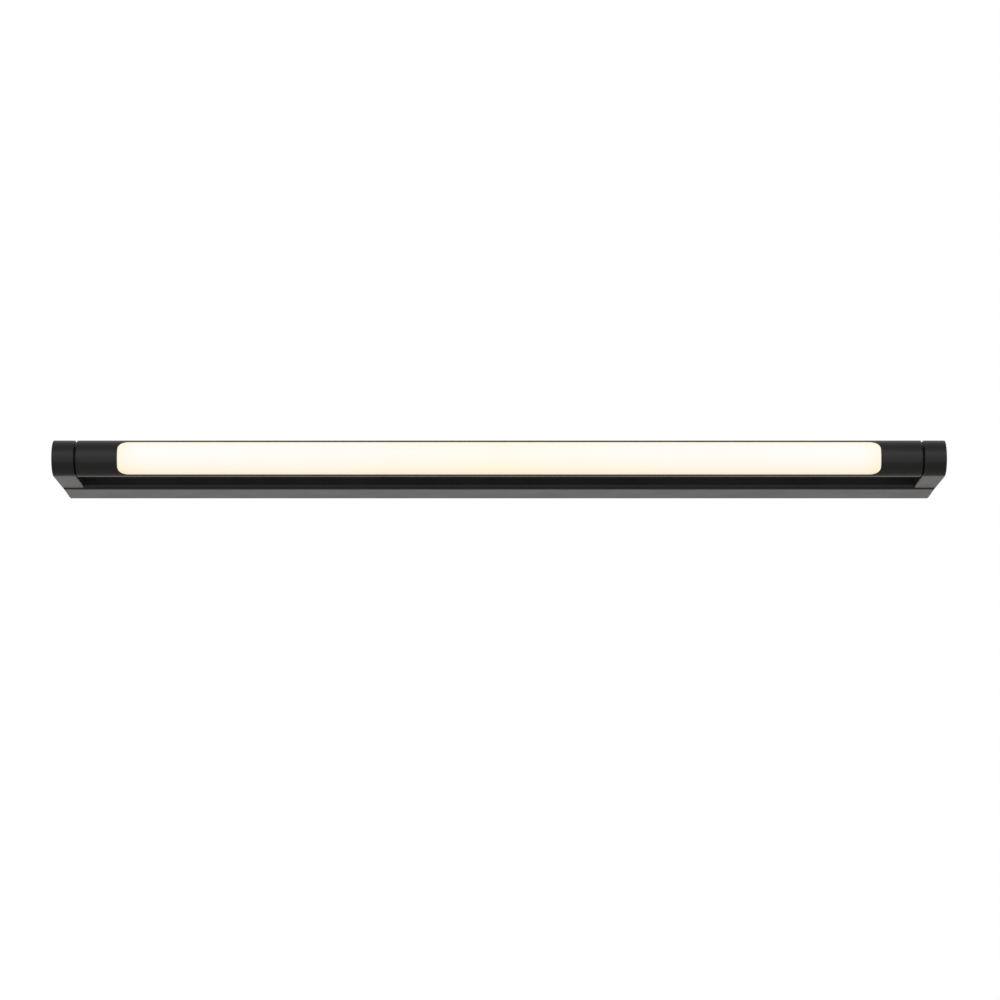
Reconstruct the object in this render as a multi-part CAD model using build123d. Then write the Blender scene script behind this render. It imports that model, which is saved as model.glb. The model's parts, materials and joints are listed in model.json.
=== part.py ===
from build123d import *
import math
import os

# Vanity light bar. Millimetres. The origin is the centre of the base's wall side.
# +X runs along the bar, +Y goes into the wall, +Z is up. The lamp faces -Y.

# ---- overall ----
LENGTH = 600.0
HALF_LENGTH = LENGTH / 2
TUBE_R = 12.25
AXIS_Y = -80.0

# ---- base box on the wall: its outer sides widen by the draft from its front to the wall ----
BASE_FRONT_Y = -36.5
BASE_BACK_Y = -1.0
BASE_DRAFT = 0.5
BASE_BACK_X = 300.15
BASE_BACK_Z = 13.5
BASE_HALF_Z = BASE_BACK_Z - BASE_DRAFT
BASE_WALL = 1.5
BASE_CORNER_R = 1.6
BASE_FRONT_R = 3.0
BASE_INNER_Y = BASE_FRONT_Y + BASE_WALL
BASE_INNER_X = 298.5
BASE_INNER_Z = 11.65
BASE_INNER_R = 1.0

# ---- end arms: hollow trays closed by an inset cover on the outer side ----
ARM_WIDTH = 15.0
ARM_INNER_X = HALF_LENGTH - ARM_WIDTH
ARM_WALL = 3.0
ARM_RIM = 2.0
ARM_WEB = 5.0
ARM_OUTER_R = 0.4
ARM_INNER_R = 1.1
ARM_CABLE_R = 2.0
ARM_SEAT_Z = 10.5
ARM_REACH = 1.05
COVER_T = 1.6
COVER_INSET = 1.0
COVER_GAP = 0.1
COVER_INNER_X = HALF_LENGTH - COVER_T
PEG_R = 1.5
PEG_LENGTH = 5.4
PEG_Y = -50.0
PEG_Z = 7.0
PEG_BOSS_R = 3.0

# ---- running gap and pivot ----
END_GAP = 1.0
TUBE_HALF = ARM_INNER_X - END_GAP
AXLE_R = 4.0
AXLE_BORE_R = 1.6
AXLE_IN_X = 274.5
AXLE_OUT_X = 292.2
BUSH_R = 6.0
BUSH_BORE_R = 4.06
BUSH_FLANGE_R = 8.0
BUSH_FLANGE_X = 284.1
BUSH_OUT_X = 288.2
WASHER_R = 7.0
FRICTION_X = 288.3
FRICTION_T = 0.5
STOP_X = 288.9
STOP_T = 0.8
STOP_TAB_R = 9.6
STOP_TAB_W = 3.0
STOP_POST_R = 1.2
STOP_POST_AT_R = 8.4
STOP_POST_TOP_X = 290.0
STOP_POST_ANGLE = 109.9
NUT_X = 289.8
NUT_T = 2.2
NUT_FLATS = 12.0

# ---- turning tube ----
SHELL_WALL = 1.25
SHELL_END_R = 0.8
SHELL_INNER_R = TUBE_R - SHELL_WALL
WINDOW_HALF_X = 256.0
WINDOW_HALF_ANGLE = 65.2
WINDOW_CORNER_R = 7.7
WINDOW_ELEVATION = -8.1
CORNER_STEPS = 6
DIFFUSER_R = 12.0
DIFFUSER_BODY_R = 10.95
DIFFUSER_WALL = 1.2
DIFFUSER_HALF_X = 263.0
DIFFUSER_HALF_ANGLE = 75.0
DIFFUSER_GAP = 0.15
PLUG_R = 10.95
PLUG_IN_X = 268.0
PLUG_FLOOR_X = 275.0
PLUG_CAVITY_R = 8.0
SEAL_X = 279.5
SEAL_MAJOR_R = 10.05
SEAL_MINOR_R = 0.87
SEAL_GROOVE_R = 9.15
SEAL_GROOVE_W = 2.0

# ---- light source, in the tube's own frame: local +Z out of the window, +Y upwards ----
CARRIER_R = 10.9
CARRIER_WALL = 1.6
CARRIER_FLAT_Z = -1.0
CARRIER_FLAT_T = 2.0
CARRIER_HALF_X = 266.0
RAIL_FROM_ANGLE = 77.0
BOARD_HALF_X = 262.0
BOARD_HALF_Y = 6.5
BOARD_T = 1.0
BOARD_TOP_Z = CARRIER_FLAT_Z + BOARD_T
CHIP_COUNT = 60
CHIP_PITCH = 8.4
CHIP_SIZE = (2.8, 3.5, 0.7)
BOARD_SCREW_X = (-197.4, -71.4, 71.4, 197.4)
BOARD_SCREW_Y = 4.2
CONNECTOR_SIZE = (8.0, 7.0, 3.8)
CONNECTOR_X = -257.0
TUBE_SCREW_X = (-271.5, -150.0, 150.0, 271.5)
SMALL_SCREW_R = 1.25
SMALL_HOLE_R = 1.3
SMALL_HEAD_R = 2.3

# ---- cables ----
CABLE_R = 1.2
CABLE_JOIN_X = -288.0
CABLE_SPLIT_X = -268.5
CORE_R = 0.5
LEAD_R = 1.0

# ---- wall bracket ----
BRACKET_T = 1.5
BRACKET_HALF_X = 285.0
BRACKET_HALF_Z = 11.0
WALL_HOLE_X = 240.0
WALL_HOLE_R = 2.25
TAB_X = 267.0
TAB_HALF_W = 9.0
TAB_REACH_Y = -14.0
LOCK_Y = -8.0
LOCK_TOP_Z = 13.36
LOCK_SCREW_R = 1.5
LOCK_HOLE_R = 1.55
LOCK_HEAD_R = 2.8
LOCK_HEAD_DEPTH = 1.3
LOCK_LENGTH = 6.0
SEAL_RING_OUT = 0.6
SEAL_RING_IN_X = 286.0
SEAL_RING_IN_Z = 11.25

# ---- supply entry, terminal and earth ----
ENTRY_X = 75.0
ENTRY_BORE_R = 4.0
ENTRY_HOLE_R = 6.5
ENTRY_FLANGE_R = 8.5
ENTRY_FLANGE_T = 1.5
TERMINAL_X = 20.0
TERMINAL_SIZE = (20.0, 13.0, 18.0)
TERMINAL_PITCH = 6.0
TERMINAL_HOLE_R = 1.6
TERMINAL_SCREW_R = 1.7
TERMINAL_SCREW_DX = 5.0
TERMINAL_WIRE_Y = -8.0
LEAD_START_X = TERMINAL_X - TERMINAL_SIZE[0] / 2 + 4
EARTH_X = -34.0
EARTH_SCREW_R = 2.0
EARTH_TAG_T = 0.8
EARTH_BARREL_Y = -BRACKET_T - 1.6

# ---- LED driver on the inside of the base's front wall ----
DRIVER_X0 = -215.0
DRIVER_X1 = -65.0
DRIVER_DEPTH = 22.0
DRIVER_HALF_Z = 9.8
DRIVER_WALL = 1.4
DRIVER_LID_T = 1.5
DRIVER_PORT_Y = -24.0
DRIVER_PORT_Z = 5.0
DRIVER_PORT_R = 2.0
DRIVER_INPUT_Z = 2.0
DRIVER_PCB_T = 1.6
DRIVER_PCB_LIFT = 4.0
CLIP_X = (-190.0, -90.0)
CLIP_W = 9.0
CLIP_T = 0.7

# ---- arm fixing ----
ARM_SCREW_X = ARM_INNER_X + ARM_WIDTH / 2
ARM_SCREW_Z = 7.5
ARM_SCREW_R = 1.5
ARM_SCREW_HOLE_R = 1.55
ARM_HEAD_R = 2.75
ARM_HEAD_T = 2.4
ARM_SCREW_END_Y = -42.5
CABLE_HOLE_R = 3.0


def box(x0, x1, y0, y1, z0, z1):
    """A box between two corners."""
    size = (x1 - x0, y1 - y0, z1 - z0)
    return Pos((x0 + x1) / 2, (y0 + y1) / 2, (z0 + z1) / 2) * Box(*size)


def rod_x(radius, x0, x1, y=0.0, z=0.0):
    """A cylinder along X."""
    return Pos((x0 + x1) / 2, y, z) * Rot(0, 90, 0) * Cylinder(radius, abs(x1 - x0))


def rod_y(radius, y0, y1, x=0.0, z=0.0):
    """A cylinder along Y."""
    return Pos(x, (y0 + y1) / 2, z) * Rot(90, 0, 0) * Cylinder(radius, abs(y1 - y0))


def rod_z(radius, z0, z1, x=0.0, y=0.0):
    """A cylinder along Z."""
    return Pos(x, y, (z0 + z1) / 2) * Cylinder(radius, abs(z1 - z0))


def both_ends(shape):
    """The shape and its mirror image on the left."""
    return [shape, mirror(shape, about=Plane.YZ)]


def group(shapes):
    """Separate solids kept in one node."""
    return Compound(children=[solid for shape in shapes for solid in shape.solids()])


def cable(points, radii, radius):
    """A round cable along straight runs joined by tangent arcs."""
    path = FilletPolyline(*points, radius=radii)
    return sweep(Plane(path @ 0, z_dir=path % 0) * Circle(radius), path=path)


def on_axis(shape):
    """Move a shape drawn about the X axis to the pivot axis."""
    return Pos(0, AXIS_Y, 0) * shape


def in_tube(shape):
    """Turn a shape from the tube's own frame to its rest position."""
    return on_axis(Rot(90 - WINDOW_ELEVATION, 0, 0) * shape)


# ------------------------------------------------------------------ base

def base_block():
    """The base's outer shape: a drafted block with rounded corners and well rounded long front edges."""
    depth = BASE_BACK_Y - BASE_FRONT_Y
    plane = Plane(origin=(0, BASE_BACK_Y, 0), x_dir=(1, 0, 0), z_dir=(0, -1, 0))
    outline = RectangleRounded(2 * BASE_BACK_X, 2 * BASE_BACK_Z, BASE_CORNER_R)
    slope = math.degrees(math.atan(BASE_DRAFT / depth))
    block = extrude(plane * outline, amount=depth, taper=slope)
    corners = [
        (BASE_FRONT_Y, -BASE_HALF_Z),
        (BASE_BACK_Y, -BASE_BACK_Z),
        (BASE_BACK_Y, BASE_BACK_Z),
        (BASE_FRONT_Y, BASE_HALF_Z),
    ]
    side = Plane(origin=(-HALF_LENGTH - 1, 0, 0), x_dir=(0, 1, 0), z_dir=(1, 0, 0))
    profile = Polygon(*corners, align=None)
    profile = fillet(profile.vertices().sort_by(Axis.X)[:2], BASE_FRONT_R)
    return block & extrude(side * profile, amount=LENGTH + 2)


def base_housing():
    cavity = box(-BASE_INNER_X, BASE_INNER_X, BASE_INNER_Y, 0, -BASE_INNER_Z, BASE_INNER_Z)
    cavity = fillet(cavity.edges().filter_by(Axis.X).sort_by(Axis.Y)[:2], BASE_INNER_R)
    body = base_block() - cavity
    for sign in (-1, 1):
        for z in (-ARM_SCREW_Z, ARM_SCREW_Z):
            body -= rod_y(ARM_SCREW_HOLE_R, BASE_FRONT_Y - 1, BASE_INNER_Y + 1, sign * ARM_SCREW_X, z)
        body -= lock_screw(LOCK_HOLE_R, LOCK_HEAD_R + 0.05).moved(Pos(sign * TAB_X, 0, 0))
        body -= rod_z(LOCK_HEAD_R + 0.05, LOCK_TOP_Z, LOCK_TOP_Z + 1, sign * TAB_X, LOCK_Y)
    body -= rod_y(CABLE_HOLE_R, BASE_FRONT_Y - 1, BASE_INNER_Y + 1, -ARM_SCREW_X)
    return body


def lock_screw(shank_r, head_r):
    """A countersunk screw in the base's top, flush with it at its lowest, pointing down."""
    top = LOCK_TOP_Z
    shank = rod_z(shank_r, top - LOCK_LENGTH, top, 0, LOCK_Y)
    head = Pos(0, LOCK_Y, top - LOCK_HEAD_DEPTH / 2) * Cone(shank_r, head_r, LOCK_HEAD_DEPTH)
    return shank + head


def lock_screws():
    screw = lock_screw(LOCK_SCREW_R, LOCK_HEAD_R)
    socket = RegularPolygon(1.0, 6)
    screw -= Pos(0, LOCK_Y, LOCK_TOP_Z) * extrude(socket, amount=-1.2)
    return group(both_ends(Pos(TAB_X, 0, 0) * screw))


def wall_seal():
    out_x = BASE_BACK_X - SEAL_RING_OUT
    out_z = BASE_BACK_Z - SEAL_RING_OUT
    ring = box(-out_x, out_x, BASE_BACK_Y, 0, -out_z, out_z)
    ring -= box(-SEAL_RING_IN_X, SEAL_RING_IN_X, BASE_BACK_Y, 0, -SEAL_RING_IN_Z, SEAL_RING_IN_Z)
    return ring


def wall_bracket():
    plate = box(-BRACKET_HALF_X, BRACKET_HALF_X, -BRACKET_T, 0, -BRACKET_HALF_Z, BRACKET_HALF_Z)
    for sign in (-1, 1):
        x0 = sign * TAB_X - TAB_HALF_W
        x1 = sign * TAB_X + TAB_HALF_W
        z_in = BRACKET_HALF_Z - BRACKET_T
        plate += box(x0, x1, TAB_REACH_Y, -BRACKET_T, z_in, BRACKET_HALF_Z)
        plate += box(x0, x1, TAB_REACH_Y, -BRACKET_T, -BRACKET_HALF_Z, -z_in)
        plate -= rod_z(LOCK_HOLE_R, z_in - 1, BRACKET_HALF_Z + 1, sign * TAB_X, LOCK_Y)
        plate -= rod_y(WALL_HOLE_R, -BRACKET_T - 1, 1, sign * WALL_HOLE_X)
    plate -= rod_y(ENTRY_HOLE_R, -BRACKET_T - 1, 1, ENTRY_X)
    plate -= rod_y(EARTH_SCREW_R, -BRACKET_T - 1, 1, EARTH_X)
    return plate


def cable_grommet():
    ring = rod_y(ENTRY_HOLE_R, -BRACKET_T, 0, ENTRY_X)
    flange = rod_y(ENTRY_FLANGE_R, -BRACKET_T - ENTRY_FLANGE_T, -BRACKET_T, ENTRY_X)
    flange = fillet(flange.faces().sort_by(Axis.Y)[0].edges(), 0.5)
    return ring + flange - rod_y(ENTRY_BORE_R, -10, 1, ENTRY_X)


def terminal_points(dx):
    return [(TERMINAL_X + dx, n * TERMINAL_PITCH) for n in (-1, 0, 1)]


def terminal_block():
    length, depth, height = TERMINAL_SIZE
    front = -BRACKET_T - depth
    x0 = TERMINAL_X - length / 2
    block = box(x0, x0 + length, front, -BRACKET_T, -height / 2, height / 2)
    block = chamfer(block.faces().sort_by(Axis.Y)[0].edges().filter_by(Axis.Z), 1.5)
    for _, z in terminal_points(0):
        block -= rod_x(TERMINAL_HOLE_R, x0 - 1, x0 + length + 1, TERMINAL_WIRE_Y, z)
    for dx in (-TERMINAL_SCREW_DX, TERMINAL_SCREW_DX):
        for x, z in terminal_points(dx):
            block -= rod_y(TERMINAL_SCREW_R + 0.1, front - 1, front + 3.1, x, z)
    return block


def terminal_screws():
    front = -BRACKET_T - TERMINAL_SIZE[1]
    screws = []
    for dx in (-TERMINAL_SCREW_DX, TERMINAL_SCREW_DX):
        for x, z in terminal_points(dx):
            screw = rod_y(TERMINAL_SCREW_R, front + 0.6, front + 3.0, x, z)
            screw -= box(x - 2, x + 2, front, front + 1.3, z - 0.3, z + 0.3)
            screws.append(screw)
    return group(screws)


def earth_tag():
    back = -BRACKET_T
    front = back - EARTH_TAG_T
    tag = rod_y(3.6, front, back, EARTH_X) + box(EARTH_X, EARTH_X + 7, front, back, -1.5, 1.5)
    tag += rod_x(1.6, EARTH_X + 6.5, EARTH_X + 11, EARTH_BARREL_Y)
    tag -= rod_x(LEAD_R + 0.05, EARTH_X + 7, EARTH_X + 12, EARTH_BARREL_Y)
    return tag - rod_y(EARTH_SCREW_R + 0.1, -10, 1, EARTH_X)


def earth_screw():
    seat = -BRACKET_T - EARTH_TAG_T
    screw = rod_y(3.5, seat - 2.4, seat, EARTH_X)
    screw = fillet(screw.faces().sort_by(Axis.Y)[0].edges(), 0.8)
    screw += rod_y(EARTH_SCREW_R, seat, 0, EARTH_X)
    slot = box(-2.3, 2.3, seat - 3, seat - 1.2, -0.4, 0.4)
    cross = slot + Rot(0, 90, 0) * slot
    return screw - Pos(EARTH_X, 0, 0) * cross


def lead_to_driver(sign):
    """Live or neutral lead from its terminal pole to the driver's input port."""
    pole_z = sign * TERMINAL_PITCH
    port_z = sign * DRIVER_INPUT_Z
    points = [
        (LEAD_START_X, TERMINAL_WIRE_Y, pole_z),
        (-24, TERMINAL_WIRE_Y, pole_z),
        (-44, DRIVER_PORT_Y, port_z),
        (DRIVER_X1 - 4, DRIVER_PORT_Y, port_z),
    ]
    return cable(points, (12, 12), LEAD_R)


def lead_earth():
    points = [
        (LEAD_START_X, TERMINAL_WIRE_Y, 0),
        (0, TERMINAL_WIRE_Y, 0),
        (-12, EARTH_BARREL_Y, 0),
        (EARTH_X + 7.5, EARTH_BARREL_Y, 0),
    ]
    return cable(points, (8, 8), LEAD_R)


def driver_box(x0, x1, y0, y1, half_z):
    return box(DRIVER_X0 + x0, DRIVER_X1 - x1, BASE_INNER_Y + y0, BASE_INNER_Y + y1, -half_z, half_z)


def driver_case():
    wall = DRIVER_WALL
    case = driver_box(0, 0, 0, DRIVER_DEPTH, DRIVER_HALF_Z)
    case = fillet(case.edges().filter_by(Axis.Y), 1.0)
    case -= driver_box(wall, wall, wall, DRIVER_DEPTH, DRIVER_HALF_Z - wall)
    case -= rod_x(DRIVER_PORT_R, DRIVER_X0 - 1, DRIVER_X0 + 3, DRIVER_PORT_Y, DRIVER_PORT_Z)
    for sign in (-1, 1):
        case -= rod_x(LEAD_R + 0.1, DRIVER_X1 - 3, DRIVER_X1 + 1, DRIVER_PORT_Y, sign * DRIVER_INPUT_Z)
    return case


def driver_lid():
    wall = DRIVER_WALL
    lid = driver_box(0, 0, DRIVER_DEPTH, DRIVER_DEPTH + DRIVER_LID_T, DRIVER_HALF_Z)
    lid = fillet(lid.edges().filter_by(Axis.Y), 1.0)
    inset = wall + 0.1
    return lid + driver_box(inset, inset, DRIVER_DEPTH - 1.5, DRIVER_DEPTH, DRIVER_HALF_Z - inset)


def driver_board():
    top = DRIVER_PCB_LIFT + DRIVER_PCB_T
    return driver_box(3, 3, DRIVER_PCB_LIFT, top, DRIVER_HALF_Z - 2)


def driver_transformer():
    y = DRIVER_PCB_LIFT + DRIVER_PCB_T
    core = driver_box(60, 70, y, y + 13, 6.5)
    return core + driver_box(63, 73, y, y + 11, 7.4)


def driver_capacitors():
    y0 = BASE_INNER_Y + DRIVER_PCB_LIFT + DRIVER_PCB_T
    cans = []
    for x, radius, height in ((-200, 5.0, 12.0), (-186, 4.0, 12.0), (-118, 3.0, 8.0), (-106, 5.0, 13.0)):
        can = rod_y(radius, y0, y0 + height, x)
        cans.append(fillet(can.faces().sort_by(Axis.Y)[-1].edges(), 0.5))
    return group(cans)


def driver_clips():
    """Spring straps over the driver, welded to the inside of the front wall."""
    out_z = DRIVER_HALF_Z + 0.1
    height = DRIVER_DEPTH + DRIVER_LID_T
    middle_y = BASE_INNER_Y + height / 2
    strap = Pos(0, middle_y + CLIP_T / 2, 0) * Box(CLIP_W, height + CLIP_T, 2 * (out_z + CLIP_T))
    strap -= Pos(0, middle_y, 0) * Box(CLIP_W, height, 2 * out_z)
    return group([Pos(x, 0, 0) * strap for x in CLIP_X])


# ------------------------------------------------------------------ arms

def arm_outline(inset, reach=0.0):
    """The arm's side shape: a round nose on the pivot axis, then flat sides back to the base."""
    radius = TUBE_R - inset
    nose = Circle(radius)
    back = BASE_FRONT_Y - AXIS_Y - inset + reach
    flat = Pos(back / 2, 0) * Rectangle(back, 2 * radius)
    return nose + flat


def arm_prism(inset, x0, x1, back_cut=0.0, reach=0.0):
    """The side shape carried along X from x0 to x1, stopped short of the base by back_cut."""
    plane = Plane(origin=(x0, AXIS_Y, 0), x_dir=(0, 1, 0), z_dir=(1, 0, 0))
    prism = extrude(plane * arm_outline(inset, reach), amount=x1 - x0)
    if back_cut:
        prism -= box(x0 - 1, x1 + 1, BASE_FRONT_Y - back_cut, 0, -20, 20)
    return prism


def stop_post(sign):
    angle = math.radians(STOP_POST_ANGLE)
    y = AXIS_Y + STOP_POST_AT_R * math.cos(angle)
    z = sign * STOP_POST_AT_R * math.sin(angle)
    return rod_x(STOP_POST_R, ARM_INNER_X + ARM_WALL, STOP_POST_TOP_X, y, z)


def free_edges(face):
    """The edges of an arm's side face, without the one inside the base."""
    return [edge for edge in face.edges() if edge.center().Y < BASE_FRONT_Y]


def arm(side):
    """One arm. The left one, side -1, also takes the lamp cable and the stop posts."""
    body = arm_prism(0, ARM_INNER_X, HALF_LENGTH, 0, ARM_REACH)
    body = fillet(free_edges(body.faces().sort_by(Axis.X)[-1]), ARM_OUTER_R)
    body = fillet(free_edges(body.faces().sort_by(Axis.X)[0]), ARM_INNER_R)
    body -= box(0, HALF_LENGTH + 1, BASE_FRONT_Y, 0, -ARM_SEAT_Z, ARM_SEAT_Z)
    body -= base_block()
    body -= arm_prism(ARM_RIM, ARM_INNER_X + ARM_WALL, HALF_LENGTH, ARM_WEB)
    body -= arm_prism(COVER_INSET, COVER_INNER_X, HALF_LENGTH)
    body -= rod_x(BUSH_R, ARM_INNER_X - 1, ARM_INNER_X + ARM_WALL + 1, AXIS_Y)
    for z in (-PEG_Z, PEG_Z):
        body += rod_x(PEG_BOSS_R, ARM_INNER_X + ARM_WALL, COVER_INNER_X - 0.1, PEG_Y, z)
        body -= rod_x(PEG_R + 0.05, COVER_INNER_X - PEG_LENGTH - 0.2, HALF_LENGTH, PEG_Y, z)
    for z in (-ARM_SCREW_Z, ARM_SCREW_Z):
        body -= rod_y(ARM_SCREW_R + 0.02, ARM_SCREW_END_Y - 1, BASE_FRONT_Y + 1, ARM_SCREW_X, z)
    if side < 0:
        body -= rod_y(ARM_CABLE_R, BASE_FRONT_Y - ARM_WEB - 1, BASE_FRONT_Y + 1, ARM_SCREW_X)
        body += stop_post(-1) + stop_post(1)
        body = mirror(body, about=Plane.YZ)
    return body


def arm_cover(side):
    cover = arm_prism(COVER_INSET + COVER_GAP, COVER_INNER_X, HALF_LENGTH)
    for z in (-PEG_Z, PEG_Z):
        cover += rod_x(PEG_R, COVER_INNER_X - PEG_LENGTH, COVER_INNER_X, PEG_Y, z)
    if side < 0:
        cover = mirror(cover, about=Plane.YZ)
    return cover


def arm_screws():
    screws = []
    for z in (-ARM_SCREW_Z, ARM_SCREW_Z):
        shank = rod_y(ARM_SCREW_R, ARM_SCREW_END_Y, BASE_INNER_Y, ARM_SCREW_X, z)
        head = rod_y(ARM_HEAD_R, BASE_INNER_Y, BASE_INNER_Y + ARM_HEAD_T, ARM_SCREW_X, z)
        head = fillet(head.faces().sort_by(Axis.Y)[-1].edges(), 0.5)
        screws.append(shank + head - rod_y(1.2, BASE_INNER_Y + 1, BASE_INNER_Y + 4, ARM_SCREW_X, z))
    return group([solid for screw in screws for solid in both_ends(screw)])


def arm_grommet():
    ring = rod_y(CABLE_HOLE_R, BASE_FRONT_Y, BASE_INNER_Y, -ARM_SCREW_X)
    flange = rod_y(4.2, BASE_INNER_Y, BASE_INNER_Y + 1, -ARM_SCREW_X)
    return ring + flange - rod_y(CABLE_R + 0.05, BASE_FRONT_Y - 1, BASE_INNER_Y + 2, -ARM_SCREW_X)


def driver_cable():
    """Driver to the left arm, round into the pivot, where it meets the turning end on the axis."""
    outer_x = -COVER_INNER_X + CABLE_R + 0.2
    points = [
        (DRIVER_X0 + 4, DRIVER_PORT_Y, DRIVER_PORT_Z),
        (-262, DRIVER_PORT_Y, DRIVER_PORT_Z),
        (-280, DRIVER_PORT_Y, 0),
        (-ARM_SCREW_X, DRIVER_PORT_Y, 0),
        (-ARM_SCREW_X, -56, 0),
        (outer_x, -66, 0),
        (outer_x, AXIS_Y, 0),
        (CABLE_JOIN_X, AXIS_Y, 0),
    ]
    return cable(points, (20, 14, 5, 14, 12, 4.7), CABLE_R)


def bush(side):
    body = rod_x(BUSH_R, ARM_INNER_X, BUSH_OUT_X) + rod_x(BUSH_FLANGE_R, BUSH_FLANGE_X, ARM_INNER_X)
    body -= rod_x(BUSH_BORE_R, BUSH_FLANGE_X - 1, BUSH_OUT_X + 1)
    return pivot_part(body, side)


# ------------------------------------------------------------------ turning tube

def pivot_part(shape, side):
    """Put a right-hand pivot piece on the axis, mirrored when side is -1."""
    if side < 0:
        shape = mirror(shape, about=Plane.YZ)
    return on_axis(shape)


def window_corner(radius, inset):
    """One corner of the window: a circular arc on the unrolled tube, seen straight on."""
    half_x = WINDOW_HALF_X - inset
    half_s = TUBE_R * math.radians(WINDOW_HALF_ANGLE) - inset
    corner = WINDOW_CORNER_R - inset
    points = []
    for step in range(CORNER_STEPS + 1):
        turn = math.pi / 2 * step / CORNER_STEPS
        x = half_x - corner + corner * math.cos(turn)
        arc = half_s - corner + corner * math.sin(turn)
        points.append((x, radius * math.sin(arc / TUBE_R)))
    return points


def window_patch(radius, inset):
    """The part of a cylinder of this radius that lies inside the window's outline."""
    corner = window_corner(radius, inset)
    quarters = [
        (corner, (0, 1), (-1, 0)),
        ([(-x, y) for x, y in reversed(corner)], (-1, 0), (0, -1)),
        ([(-x, -y) for x, y in corner], (0, -1), (1, 0)),
        ([(x, -y) for x, y in reversed(corner)], (1, 0), (0, 1)),
    ]
    lines = []
    for index, (points, start, end) in enumerate(quarters):
        following = quarters[(index + 1) % 4][0]
        lines.append(Spline(*points, tangents=[start, end]))
        lines.append(Line(points[-1], following[0]))
    block = extrude(make_face(Curve() + lines), amount=2 * radius)
    rounded = block & rod_x(radius, -HALF_LENGTH, HALF_LENGTH)
    curved = [face for face in rounded.faces() if face.geom_type == GeomType.CYLINDER]
    return max(curved, key=lambda face: face.area)


def tube_screw(shank_r, head_r, depth):
    """A countersunk screw at the back of the tube, pointing at the axis."""
    shank = rod_z(shank_r, -TUBE_R, -TUBE_R + depth)
    head = Pos(0, 0, -TUBE_R + 0.55) * Cone(head_r, shank_r, 1.1)
    return shank + head


def tube_shell():
    shell = rod_x(TUBE_R, -TUBE_HALF, TUBE_HALF)
    shell = fillet(shell.edges().filter_by(GeomType.CIRCLE), SHELL_END_R)
    shell -= rod_x(SHELL_INNER_R, -TUBE_HALF, TUBE_HALF)
    shell -= Solid.thicken(window_patch(TUBE_R, 0), -2 * SHELL_WALL)
    for x in TUBE_SCREW_X:
        shell -= Pos(x, 0, 0) * tube_screw(SMALL_HOLE_R, SMALL_HEAD_R + 0.05, 3)
    return in_tube(shell)


def sector(inner_r, outer_r, half_x, half_angle):
    """A ring sector along X, centred on local +Z."""
    ring = rod_x(outer_r, -half_x, half_x) - rod_x(inner_r, -half_x - 1, half_x + 1)
    plane = Plane(origin=(-half_x, 0, 0), x_dir=(0, 1, 0), z_dir=(1, 0, 0))
    reach = 40.0
    turn = math.radians(half_angle)
    tip = (reach * math.sin(turn), reach * math.cos(turn))
    wedge = Polygon((0, 0), tip, (reach, reach), (-reach, reach), (-tip[0], tip[1]), align=None)
    return ring & extrude(plane * wedge, amount=2 * half_x)


def diffuser():
    body = sector(DIFFUSER_BODY_R - DIFFUSER_WALL, DIFFUSER_BODY_R, DIFFUSER_HALF_X, DIFFUSER_HALF_ANGLE)
    pad = Solid.thicken(window_patch(DIFFUSER_R, DIFFUSER_GAP), -1.6)
    return in_tube(body + pad)


def led_carrier():
    """Heat-sink profile: a D-shaped hollow behind the board and two rails beside it."""
    half = CARRIER_HALF_X
    below = box(-half, half, -20, 20, -20, CARRIER_FLAT_Z)
    hollow_top = CARRIER_FLAT_Z - CARRIER_FLAT_T
    hollow = rod_x(CARRIER_R - CARRIER_WALL, -half, half) & box(-half, half, -20, 20, -20, hollow_top)
    profile = (rod_x(CARRIER_R, -half, half) & below) - hollow
    rail_top = CARRIER_R * math.cos(math.radians(RAIL_FROM_ANGLE))
    rails = rod_x(CARRIER_R, -half, half) - rod_x(CARRIER_R - CARRIER_WALL, -half, half)
    profile += rails & box(-half, half, -20, 20, CARRIER_FLAT_Z - 0.5, rail_top)
    for x in TUBE_SCREW_X[1:3]:
        profile -= Pos(x, 0, 0) * rod_z(SMALL_HOLE_R, -TUBE_R, -6)
    for x, y in board_screw_points():
        profile -= rod_z(SMALL_HOLE_R, -5, 2, x, y)
    return in_tube(profile)


def board_screw_points():
    return [(x, BOARD_SCREW_Y * (-1) ** n) for n, x in enumerate(BOARD_SCREW_X)]


def led_board():
    board = box(-BOARD_HALF_X, BOARD_HALF_X, -BOARD_HALF_Y, BOARD_HALF_Y, CARRIER_FLAT_Z, BOARD_TOP_Z)
    for x, y in board_screw_points():
        board -= rod_z(SMALL_HOLE_R, -5, 2, x, y)
    return in_tube(board)


def led_chips():
    first = -CHIP_PITCH * (CHIP_COUNT - 1) / 2
    middle_z = BOARD_TOP_Z + CHIP_SIZE[2] / 2
    chips = [Pos(first + n * CHIP_PITCH, 0, middle_z) * Box(*CHIP_SIZE) for n in range(CHIP_COUNT)]
    return in_tube(group(chips))


def board_screws():
    screws = []
    for x, y in board_screw_points():
        head = rod_z(2.1, BOARD_TOP_Z, BOARD_TOP_Z + 1.4, x, y)
        head = fillet(head.faces().sort_by(Axis.Z)[-1].edges(), 0.6)
        screws.append(head + rod_z(SMALL_SCREW_R, BOARD_TOP_Z - 3.6, BOARD_TOP_Z, x, y))
    return in_tube(group(screws))


def board_connector():
    length, width, height = CONNECTOR_SIZE
    x0 = CONNECTOR_X - length / 2
    body = box(x0, x0 + length, -width / 2, width / 2, BOARD_TOP_Z, BOARD_TOP_Z + height)
    for y in (-1.6, 1.6):
        body -= rod_x(CORE_R + 0.2, x0 - 1, x0 + 4, y, BOARD_TOP_Z + 1.9)
    return in_tube(body)


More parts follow.
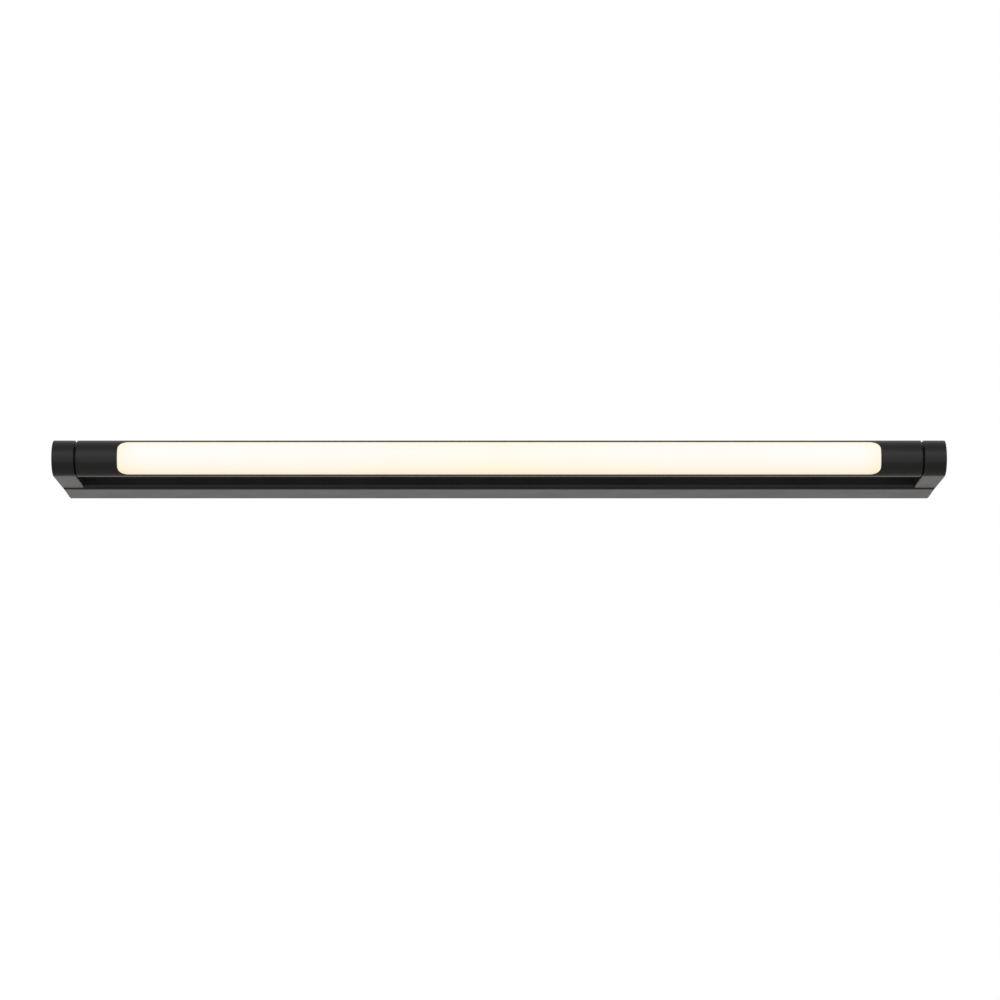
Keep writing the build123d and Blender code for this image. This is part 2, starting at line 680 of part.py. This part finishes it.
def board_leads():
    leads = []
    start_x = CABLE_SPLIT_X
    end_x = CONNECTOR_X - CONNECTOR_SIZE[0] / 2 + 2
    for sign in (-1, 1):
        near = (start_x, sign * 0.6, 0)
        bend = (start_x + 1.5, sign * 0.6, 0)
        rise = (end_x - 3.2, sign * 1.6, BOARD_TOP_Z + 1.9)
        end = (end_x, sign * 1.6, BOARD_TOP_Z + 1.9)
        leads.append(cable([near, bend, rise, end], (2.0, 2.0), CORE_R))
    return in_tube(group(leads))


def tube_cable():
    return on_axis(rod_x(CABLE_R, CABLE_JOIN_X, CABLE_SPLIT_X))


def end_plug(side):
    plug = rod_x(PLUG_R, PLUG_IN_X, TUBE_HALF)
    plug -= rod_x(PLUG_CAVITY_R, PLUG_IN_X, PLUG_FLOOR_X)
    plug -= rod_x(AXLE_R, PLUG_FLOOR_X, TUBE_HALF)
    groove_0 = SEAL_X - SEAL_GROOVE_W / 2
    groove_1 = SEAL_X + SEAL_GROOVE_W / 2
    plug -= rod_x(PLUG_R + 1, groove_0, groove_1) - rod_x(SEAL_GROOVE_R, groove_0, groove_1)
    plug -= Pos(TUBE_SCREW_X[-1], 0, 0) * rod_z(SMALL_HOLE_R, -TUBE_R, -6)
    if side < 0:
        plug = mirror(plug, about=Plane.YZ)
    return in_tube(plug)


def plug_seal(side):
    return pivot_part(Pos(SEAL_X, 0, 0) * Rot(0, 90, 0) * Torus(SEAL_MAJOR_R, SEAL_MINOR_R), side)


def tube_screws():
    screw = tube_screw(SMALL_SCREW_R, SMALL_HEAD_R, 5.5)
    slot = box(-1.4, 1.4, -0.25, 0.25, -TUBE_R, -TUBE_R + 0.8)
    screw -= slot + Rot(0, 0, 90) * slot
    screw &= rod_x(TUBE_R, -5, 5)
    return in_tube(group([Pos(x, 0, 0) * screw for x in TUBE_SCREW_X]))


def axle(side):
    body = rod_x(AXLE_R, AXLE_IN_X, AXLE_OUT_X)
    body = chamfer(body.edges().filter_by(GeomType.CIRCLE), 0.4)
    return pivot_part(body - rod_x(AXLE_BORE_R, AXLE_IN_X, AXLE_OUT_X), side)


def washer(outer_r, x, thickness, side):
    ring = rod_x(outer_r, x, x + thickness) - rod_x(AXLE_R, x, x + thickness)
    return pivot_part(ring, side)


def stop_washer():
    """The left washer, with a tab towards the wall that meets the arm's two stop posts."""
    ring = rod_x(WASHER_R, STOP_X, STOP_X + STOP_T)
    ring += box(STOP_X, STOP_X + STOP_T, 0, STOP_TAB_R, -STOP_TAB_W / 2, STOP_TAB_W / 2)
    ring -= rod_x(AXLE_R, STOP_X, STOP_X + STOP_T)
    return pivot_part(ring, -1)


def axle_nut(side):
    plane = Plane(origin=(NUT_X, 0, 0), x_dir=(0, 1, 0), z_dir=(1, 0, 0))
    nut = extrude(plane * RegularPolygon(NUT_FLATS / 2, 6, major_radius=False), amount=NUT_T)
    nut &= rod_x(NUT_FLATS / 2 * 1.1, NUT_X, NUT_X + NUT_T)
    return pivot_part(nut - rod_x(AXLE_R, NUT_X, NUT_X + NUT_T), side)


# ------------------------------------------------------------------ all nodes

def all_nodes():
    nodes = {
        "base_housing": base_housing(),
        "wall_bracket": wall_bracket(),
        "wall_seal": wall_seal(),
        "lock_screws": lock_screws(),
        "cable_grommet": cable_grommet(),
        "terminal_block": terminal_block(),
        "terminal_screws": terminal_screws(),
        "earth_tag": earth_tag(),
        "earth_screw": earth_screw(),
        "lead_live": lead_to_driver(1),
        "lead_neutral": lead_to_driver(-1),
        "lead_earth": lead_earth(),
        "driver_case": driver_case(),
        "driver_lid": driver_lid(),
        "driver_board": driver_board(),
        "driver_transformer": driver_transformer(),
        "driver_capacitors": driver_capacitors(),
        "driver_clips": driver_clips(),
        "driver_cable": driver_cable(),
        "arm_screws": arm_screws(),
        "arm_grommet": arm_grommet(),
        "tube_shell": tube_shell(),
        "diffuser": diffuser(),
        "led_carrier": led_carrier(),
        "led_board": led_board(),
        "led_chips": led_chips(),
        "board_screws": board_screws(),
        "board_connector": board_connector(),
        "board_leads": board_leads(),
        "tube_cable": tube_cable(),
        "tube_screws": tube_screws(),
        "stop_washer_left": stop_washer(),
        "plain_washer_right": washer(WASHER_R, STOP_X, STOP_T, 1),
    }
    for name, side in (("left", -1), ("right", 1)):
        nodes["arm_" + name] = arm(side)
        nodes["arm_cover_" + name] = arm_cover(side)
        nodes["bush_" + name] = bush(side)
        nodes["end_plug_" + name] = end_plug(side)
        nodes["plug_seal_" + name] = plug_seal(side)
        nodes["axle_" + name] = axle(side)
        nodes["friction_washer_" + name] = washer(WASHER_R, FRICTION_X, FRICTION_T, side)
        nodes["axle_nut_" + name] = axle_nut(side)
    return nodes


os.makedirs("parts", exist_ok=True)
for node, shape in all_nodes().items():
    export_step(shape, "parts/" + node + ".step")
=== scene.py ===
import json
import math

import bpy
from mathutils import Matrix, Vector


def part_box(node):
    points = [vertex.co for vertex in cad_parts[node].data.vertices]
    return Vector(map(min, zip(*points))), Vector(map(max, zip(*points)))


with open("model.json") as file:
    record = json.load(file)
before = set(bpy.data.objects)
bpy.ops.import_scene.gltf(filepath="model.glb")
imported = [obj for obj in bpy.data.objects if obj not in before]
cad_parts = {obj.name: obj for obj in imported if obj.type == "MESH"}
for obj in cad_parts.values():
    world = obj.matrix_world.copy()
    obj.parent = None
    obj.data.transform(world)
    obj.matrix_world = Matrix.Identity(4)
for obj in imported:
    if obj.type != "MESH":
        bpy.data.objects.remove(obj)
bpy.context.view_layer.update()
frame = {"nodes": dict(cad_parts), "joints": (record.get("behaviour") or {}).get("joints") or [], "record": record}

MM = 0.001

# ---- sizes read from the frame ----
NODES = frame["nodes"]
JOINT = frame["joints"][0]
AXIS_Y, AXIS_Z = JOINT["pos_m"][1], JOINT["pos_m"][2]
DIFFUSER_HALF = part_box("diffuser")[1].x

# ---- the view: from the front and a little below, through a long lens ----
CAMERA_DISTANCE = 2.052
CAMERA_ELEVATION = math.radians(-10.54)
CAMERA_PITCH = math.radians(9.7628)
CAMERA_X = 0.6 * MM
CLIP_START = 0.01
LENS_MM = 109.66
SENSOR_MM = 36.0

# ---- the lit diffuser: colour by angle round the axis ----
# 0 is straight in front and 90 straight up.
GLOW_LOW, GLOW_HIGH = -75.0, 60.0
GLOW_STRENGTH = 0.90
GLOW_STOPS = (
    (-71.0, (0.88, 0.765, 0.605)),
    (-59.0, (0.965, 0.83, 0.65)),
    (-52.0, (0.96, 0.86, 0.685)),
    (-43.0, (0.95, 0.872, 0.735)),
    (-29.0, (0.94, 0.88, 0.78)),
    (-16.0, (0.93, 0.872, 0.818)),
    (3.0, (0.92, 0.872, 0.835)),
    (23.0, (0.91, 0.88, 0.85)),
    (35.0, (0.92, 0.88, 0.828)),
    (45.0, (0.93, 0.85, 0.70)),
    (56.0, (0.97, 0.90, 0.71)),
)

# The same along the bar, from its middle, 0, to the diffuser's hidden end, 1.
GLOW_ALONG = (
    (0.00, (1.0, 0.98, 0.885)),
    (0.06, (1.0, 0.988, 0.918)),
    (0.20, (1.0, 0.988, 0.938)),
    (0.35, (1.0, 0.992, 0.965)),
    (0.65, (1.0, 0.996, 0.973)),
    (0.87, (1.0, 1.0, 1.0)),
    (0.925, (1.0, 0.992, 0.973)),
    (0.945, (1.0, 0.985, 0.938)),
    (0.955, (1.0, 0.972, 0.89)),
    (0.964, (1.0, 0.96, 0.83)),
    (1.00, (0.975, 0.92, 0.77)),
)

# ---- stage and light ----
FLOOR_Z = -2.3
FLOOR_SIZE = 8.0
FLOOR_CLOUD = 1.2                     # clouds per metre
FLOOR_BOUNCE = ((0.56, 0.56, 0.555), (0.60, 0.60, 0.595))
FLOOR_SEEN = ((0.80, 0.80, 0.79), (0.84, 0.84, 0.83))
FADE_FROM, FADE_TO = 0.8, 3.6         # distances over which the floor goes to white
FLATTENED = (1, 1, 0)
WHITE = (1, 1, 1, 1)
# Soft light by direction round the bar:
# 0 is straight in front, 90 overhead, 180 behind, -90 below.
SKY_STOPS = (
    (-180.0, (0.685, 0.673, 0.645)),
    (-165.0, (0.665, 0.653, 0.63)),
    (-145.0, (0.42, 0.41, 0.395)),
    (-120.0, (0.26, 0.255, 0.25)),
    (-70.0, 0.30),
    (-40.0, 0.59),
    (-20.0, 0.61),
    (4.0, 0.65),
    (16.0, 1.00),
    (31.0, 1.00),
    (46.0, 0.45),
    (65.0, 0.37),
    (90.0, 0.43),
    (140.0, 0.60),
    (180.0, (0.685, 0.673, 0.645)),
)

# ---- finishes: every scale is in cells per metre, every bump a strength and a height ----
# A noise keeps mostly between these two values, so colours and roughness run between them.
NOISE_LOW, NOISE_HIGH = 0.3, 0.7

COAT_COLOURS = ((0.0095, 0.0090, 0.0086), (0.0125, 0.0119, 0.0114))
COAT_ROUGHNESS = (0.31, 0.355)
COAT_IOR = 1.5
COAT_PEEL, COAT_SPECK, COAT_CLOUD = 1500, 5200, 35
COAT_SPECK_SHARE = 0.35
COAT_BUMP = (0.45, 0.00005)

OPAL_COLOURS = ((0.29, 0.283, 0.262), (0.31, 0.303, 0.282))
OPAL_ROUGHNESS = 0.38
OPAL_GRAIN, OPAL_CLOUD = 2600, 60
OPAL_BUMP = (0.08, 0.00002)

ZINC_COLOURS = ((0.56, 0.57, 0.585), (0.68, 0.685, 0.69))
ZINC_ROUGHNESS = (0.27, 0.36)
ZINC_TONE_LOW, ZINC_TONE_HIGH = 0.2, 0.8
ZINC_CRYSTALS, ZINC_STAIN = 420, 22
ZINC_CRYSTAL_SHARE = 0.35
ZINC_LINES = (60, 3200, 3200)
ZINC_BUMP = (0.10, 0.00001)

METAL_CLOUD = 140
METAL_CLOUD_SHARE = 0.5
METAL_SMOOTHER, METAL_ROUGHER = 0.05, 0.06
METAL_BUMP = (0.15, 0.00002)
EVEN_GRAIN = (900, 900, 900)
DRAWN_GRAIN = (30, 2500, 2500)
# Record slot: material name, dark and light colour, roughness, grain.
METALS = {
    "brass": ("turned_brass", (0.60, 0.42, 0.18), (0.80, 0.61, 0.32), 0.26, EVEN_GRAIN),
    "spring_steel": ("spring_steel", (0.28, 0.28, 0.29), (0.42, 0.42, 0.43), 0.30, EVEN_GRAIN),
    "bare_aluminium": (
        "bare_aluminium", (0.62, 0.62, 0.63), (0.80, 0.80, 0.81), 0.33, DRAWN_GRAIN),
}

MOULDED_GRAIN, MOULDED_CLOUD = 1800, 90
MOULDED_ROUGHNESS_SPREAD = 0.05
MOULDED_BUMP = (0.2, 0.00004)
# Record slot, also the material's name: dark and light colour, roughness.
MOULDED = {
    "seal_rubber": ((0.010, 0.010, 0.010), (0.020, 0.020, 0.019), 0.75),
    "bush_nylon": ((0.012, 0.012, 0.012), (0.020, 0.020, 0.020), 0.45),
    "plug_black": ((0.011, 0.011, 0.011), (0.018, 0.018, 0.018), 0.48),
    "board_white": ((0.74, 0.74, 0.72), (0.82, 0.82, 0.80), 0.40),
    "led_phosphor": ((0.75, 0.58, 0.14), (0.85, 0.68, 0.22), 0.30),
    "driver_white": ((0.68, 0.68, 0.66), (0.76, 0.76, 0.74), 0.45),
    "board_green": ((0.01, 0.09, 0.04), (0.02, 0.14, 0.06), 0.35),
    "coil_dark": ((0.030, 0.026, 0.022), (0.06, 0.05, 0.04), 0.35),
    "wire_brown": ((0.09, 0.035, 0.016), (0.13, 0.05, 0.024), 0.35),
    "wire_blue": ((0.015, 0.06, 0.26), (0.025, 0.09, 0.34), 0.35),
    "wire_earth": ((0.06, 0.26, 0.03), (0.10, 0.34, 0.05), 0.35),
    "cable_white": ((0.70, 0.70, 0.68), (0.78, 0.78, 0.76), 0.38),
    "wire_red": ((0.32, 0.015, 0.012), (0.42, 0.025, 0.02), 0.35),
}

# ---- socket places on nodes whose sockets share a name ----
MIX_FACTOR, MIX_A, MIX_B, MIX_RESULT = 0, 6, 7, 2


# ------------------------------------------------------------------ node graphs

class Graph:
    """A short way to write a node tree: nodes are added with their inputs set or linked."""

    def __init__(self, tree):
        self.tree = tree
        tree.nodes.clear()

    def add(self, kind, inputs=(), **settings):
        node = self.tree.nodes.new(kind)
        for key, value in settings.items():
            setattr(node, key, value)
        for key, value in dict(inputs).items():
            socket = node.inputs[key]
            if isinstance(value, bpy.types.NodeSocket):
                self.tree.links.new(value, socket)
            else:
                socket.default_value = value
        return node

    def math(self, operation, a, b):
        return self.add("ShaderNodeMath", {0: a, 1: b}, operation=operation).outputs[0]

    def blend(self, a, b, share):
        """The sum of a and b, with a weighted by share and b by the rest."""
        rest = self.math("MULTIPLY", b, 1 - share)
        return self.math("ADD", self.math("MULTIPLY", a, share), rest)

    def ramp(self, factor, stops):
        """A colour ramp with (position, colour or grey) stops."""
        node = self.add("ShaderNodeValToRGB", {"Fac": factor})
        elements = node.color_ramp.elements
        while len(elements) < len(stops):
            elements.new(0.5)
        for element, (position, colour) in zip(elements, stops):
            element.position = position
            grey = isinstance(colour, (int, float))
            element.color = (colour, colour, colour, 1) if grey else (*colour, 1)
        return node.outputs["Color"]

    def shades(self, factor, colours, low=NOISE_LOW, high=NOISE_HIGH):
        """A colour between the two given, as the factor goes from low to high."""
        dark, light = colours
        return self.ramp(factor, ((low, dark), (high, light)))

    def mapped(self, factor, low, high, to_low, to_high):
        values = {"Value": factor, 1: low, 2: high, 3: to_low, 4: to_high}
        return self.add("ShaderNodeMapRange", values).outputs["Result"]

    def noise(self, vector, scale, detail=3.0, rough=0.5):
        values = {"Vector": vector, "Scale": scale, "Detail": detail, "Roughness": rough}
        return self.add("ShaderNodeTexNoise", values).outputs["Fac"]

    def bump(self, height, strength_and_height):
        strength, distance = strength_and_height
        values = {"Height": height, "Strength": strength, "Distance": distance}
        return self.add("ShaderNodeBump", values).outputs[0]

    def place(self):
        """The point on the object, in metres, turning with its body."""
        return self.add("ShaderNodeTexCoord").outputs["Object"]

    def mapping(self, vector, **values):
        return self.add("ShaderNodeMapping", {"Vector": vector, **values}).outputs[0]

    def mixed(self, factor, a, b, blend_type="MIX"):
        values = {MIX_FACTOR: factor, MIX_A: a, MIX_B: b}
        node = self.add("ShaderNodeMix", values, data_type="RGBA", blend_type=blend_type)
        return node.outputs[MIX_RESULT]

    def along_and_around(self, vector):
        """A vector's X, and its angle round X: 0 in front, a right angle straight up."""
        split = self.add("ShaderNodeSeparateXYZ", {0: vector})
        forward = self.math("MULTIPLY", split.outputs["Y"], -1.0)
        return split.outputs["X"], self.math("ARCTAN2", split.outputs["Z"], forward)

    def to_camera(self, otherwise, shown):
        """One shader for the light that surfaces get, another for what the camera sees."""
        seen = self.add("ShaderNodeLightPath").outputs["Is Camera Ray"]
        values = {0: seen, 1: otherwise.outputs[0], 2: shown.outputs[0]}
        return self.add("ShaderNodeMixShader", values).outputs[0]


def new_material(name):
    material = bpy.data.materials.new(name)
    material.use_nodes = True
    return material, Graph(material.node_tree)


def finish_material(graph, inputs):
    shader = graph.add("ShaderNodeBsdfPrincipled", inputs)
    graph.add("ShaderNodeOutputMaterial", {"Surface": shader.outputs[0]})


# ------------------------------------------------------------------ materials

def satin_black():
    """Fine satin powder coat: a faint orange peel, slightly uneven sheen."""
    material, g = new_material("satin_black")
    place = g.place()
    peel = g.noise(place, COAT_PEEL, detail=2.0)
    cloud = g.noise(place, COAT_CLOUD)
    speck = g.noise(place, COAT_SPECK, detail=1.0)
    height = g.math("ADD", peel, g.math("MULTIPLY", speck, COAT_SPECK_SHARE))
    finish_material(g, {
        "Base Color": g.shades(cloud, COAT_COLOURS),
        "Roughness": g.mapped(cloud, NOISE_LOW, NOISE_HIGH, *COAT_ROUGHNESS),
        "IOR": COAT_IOR,
        "Normal": g.bump(height, COAT_BUMP),
    })
    return material


def opal_lit():
    """Lit opal plastic: warm white, more cream at its lower edge, upper rim and two ends."""
    material, g = new_material("opal_lit")
    place = g.place()
    centred = g.mapping(place, Location=(0, -AXIS_Y, -AXIS_Z))
    along, around = g.along_and_around(centred)
    span = GLOW_HIGH - GLOW_LOW
    level = g.mapped(around, math.radians(GLOW_LOW), math.radians(GLOW_HIGH), 0.0, 1.0)
    across = g.ramp(level, [((angle - GLOW_LOW) / span, colour) for angle, colour in GLOW_STOPS])
    from_middle = g.math("ABSOLUTE", along, 0.0)
    end = g.ramp(g.mapped(from_middle, 0.0, DIFFUSER_HALF, 0.0, 1.0), GLOW_ALONG)
    grain = g.noise(place, OPAL_GRAIN, detail=2.0)
    cloud = g.noise(place, OPAL_CLOUD, detail=2.0)
    finish_material(g, {
        "Base Color": g.shades(cloud, OPAL_COLOURS),
        "Roughness": OPAL_ROUGHNESS,
        "Emission Color": g.mixed(1.0, across, end, "MULTIPLY"),
        "Emission Strength": GLOW_STRENGTH,
        "Normal": g.bump(grain, OPAL_BUMP),
    })
    return material


def plain_metal(name, dark, light, rough, grain):
    """Metal with a fine directional or even grain."""
    material, g = new_material(name)
    place = g.place()
    streak = g.noise(g.mapping(place, Scale=grain), 1.0, detail=4.0, rough=0.6)
    cloud = g.noise(place, METAL_CLOUD)
    tone = g.blend(cloud, streak, METAL_CLOUD_SHARE)
    roughness = (rough - METAL_SMOOTHER, rough + METAL_ROUGHER)
    finish_material(g, {
        "Base Color": g.shades(tone, (dark, light)),
        "Metallic": 1.0,
        "Roughness": g.mapped(tone, NOISE_LOW, NOISE_HIGH, *roughness),
        "Normal": g.bump(streak, METAL_BUMP),
    })
    return material


def zinc_plate():
    """Bright zinc on rolled sheet: small faint crystals, fine rolling lines along the bar."""
    material, g = new_material("zinc_steel")
    place = g.place()
    cells = g.add("ShaderNodeTexVoronoi", {"Vector": place, "Scale": ZINC_CRYSTALS})
    crystal = g.add("ShaderNodeSeparateColor", {0: cells.outputs["Color"]}).outputs[0]
    line = g.noise(g.mapping(place, Scale=ZINC_LINES), 1.0, rough=0.6)
    stain = g.noise(place, ZINC_STAIN)
    tone = g.blend(crystal, stain, ZINC_CRYSTAL_SHARE)
    finish_material(g, {
        "Base Color": g.shades(tone, ZINC_COLOURS, ZINC_TONE_LOW, ZINC_TONE_HIGH),
        "Metallic": 1.0,
        "Roughness": g.mapped(tone, ZINC_TONE_LOW, ZINC_TONE_HIGH, *ZINC_ROUGHNESS),
        "Normal": g.bump(line, ZINC_BUMP),
    })
    return material


def moulded(name, dark, light, rough):
    """Moulded plastic or rubber with a fine spark-eroded texture."""
    material, g = new_material(name)
    place = g.place()
    grain = g.noise(place, MOULDED_GRAIN)
    cloud = g.noise(place, MOULDED_CLOUD, detail=2.0)
    roughness = (rough - MOULDED_ROUGHNESS_SPREAD, rough + MOULDED_ROUGHNESS_SPREAD)
    finish_material(g, {
        "Base Color": g.shades(cloud, (dark, light)),
        "Roughness": g.mapped(grain, NOISE_LOW, NOISE_HIGH, *roughness),
        "Normal": g.bump(grain, MOULDED_BUMP),
    })
    return material


def floor_material():
    """A faintly clouded floor: soft grey as a bounce board, pale where it is seen.

    What is seen goes to white far off, so the floor has no edge.
    """
    material, g = new_material("pale_floor")
    place = g.place()
    cloud = g.noise(place, FLOOR_CLOUD)
    flat = g.mapping(place, Scale=FLATTENED)
    distance = g.add("ShaderNodeVectorMath", {0: flat}, operation="LENGTH").outputs["Value"]
    far = g.mapped(distance, FADE_FROM, FADE_TO, 0.0, 1.0)
    faded = g.mixed(far, g.shades(cloud, FLOOR_SEEN), WHITE)
    bounce = g.add("ShaderNodeBsdfDiffuse", {"Color": g.shades(cloud, FLOOR_BOUNCE)})
    shown = g.add("ShaderNodeEmission", {"Color": faded, "Strength": 1.0})
    g.add("ShaderNodeOutputMaterial", {"Surface": g.to_camera(bounce, shown)})
    return material


def make_materials():
    materials = {
        "black_coat": satin_black(),
        "opal": opal_lit(),
        "zinc_steel": zinc_plate(),
    }
    for slot, finish in METALS.items():
        materials[slot] = plain_metal(*finish)
    for slot, finish in MOULDED.items():
        materials[slot] = moulded(slot, *finish)
    return materials


def paint_nodes(materials):
    """Every CAD node takes the finished material of its record slot."""
    for entry in frame["record"]["subparts"]:
        material = materials[entry["material_slot"]]
        for holder in NODES[entry["node"]].material_slots:
            holder.material = material


# ------------------------------------------------------------------ stage, light, camera

def make_floor():
    mesh = bpy.data.meshes.new("floor")
    half = FLOOR_SIZE / 2
    outline = ((-half, -half), (half, -half), (half, half), (-half, half))
    corners = [(x, y, FLOOR_Z) for x, y in outline]
    mesh.from_pydata(corners, [], [(0, 1, 2, 3)])
    floor = bpy.data.objects.new("floor", mesh)
    floor.data.materials.append(floor_material())
    bpy.context.scene.collection.objects.link(floor)


def make_world():
    """White where it is seen. To surfaces it is a soft room: a long soft box in front, a
    bright wall behind."""
    world = bpy.data.worlds.new("studio")
    bpy.context.scene.world = world
    world.use_nodes = True
    g = Graph(world.node_tree)
    direction = g.add("ShaderNodeTexCoord").outputs["Generated"]
    _, around = g.along_and_around(direction)
    level = g.mapped(around, -math.pi, math.pi, 0.0, 1.0)
    sky = g.ramp(level, [((angle + 180) / 360, value) for angle, value in SKY_STOPS])
    room = g.add("ShaderNodeBackground", {"Color": sky, "Strength": 1.0})
    white = g.add("ShaderNodeBackground", {"Color": WHITE, "Strength": 1.0})
    g.add("ShaderNodeOutputWorld", {"Surface": g.to_camera(room, white)})


def make_camera():
    data = bpy.data.cameras.new("camera")
    data.sensor_width = SENSOR_MM
    data.lens = LENS_MM
    data.clip_start = CLIP_START
    camera = bpy.data.objects.new("camera", data)
    camera.location = (
        CAMERA_X,
        AXIS_Y - CAMERA_DISTANCE * math.cos(CAMERA_ELEVATION),
        AXIS_Z + CAMERA_DISTANCE * math.sin(CAMERA_ELEVATION),
    )
    camera.rotation_euler = (math.pi / 2 + CAMERA_PITCH, 0, 0)
    bpy.context.scene.collection.objects.link(camera)
    bpy.context.scene.camera = camera


def set_colour():
    scene = bpy.context.scene
    scene.view_settings.view_transform = "Standard"
    scene.view_settings.look = "None"


paint_nodes(make_materials())
make_floor()
make_world()
make_camera()
set_colour()
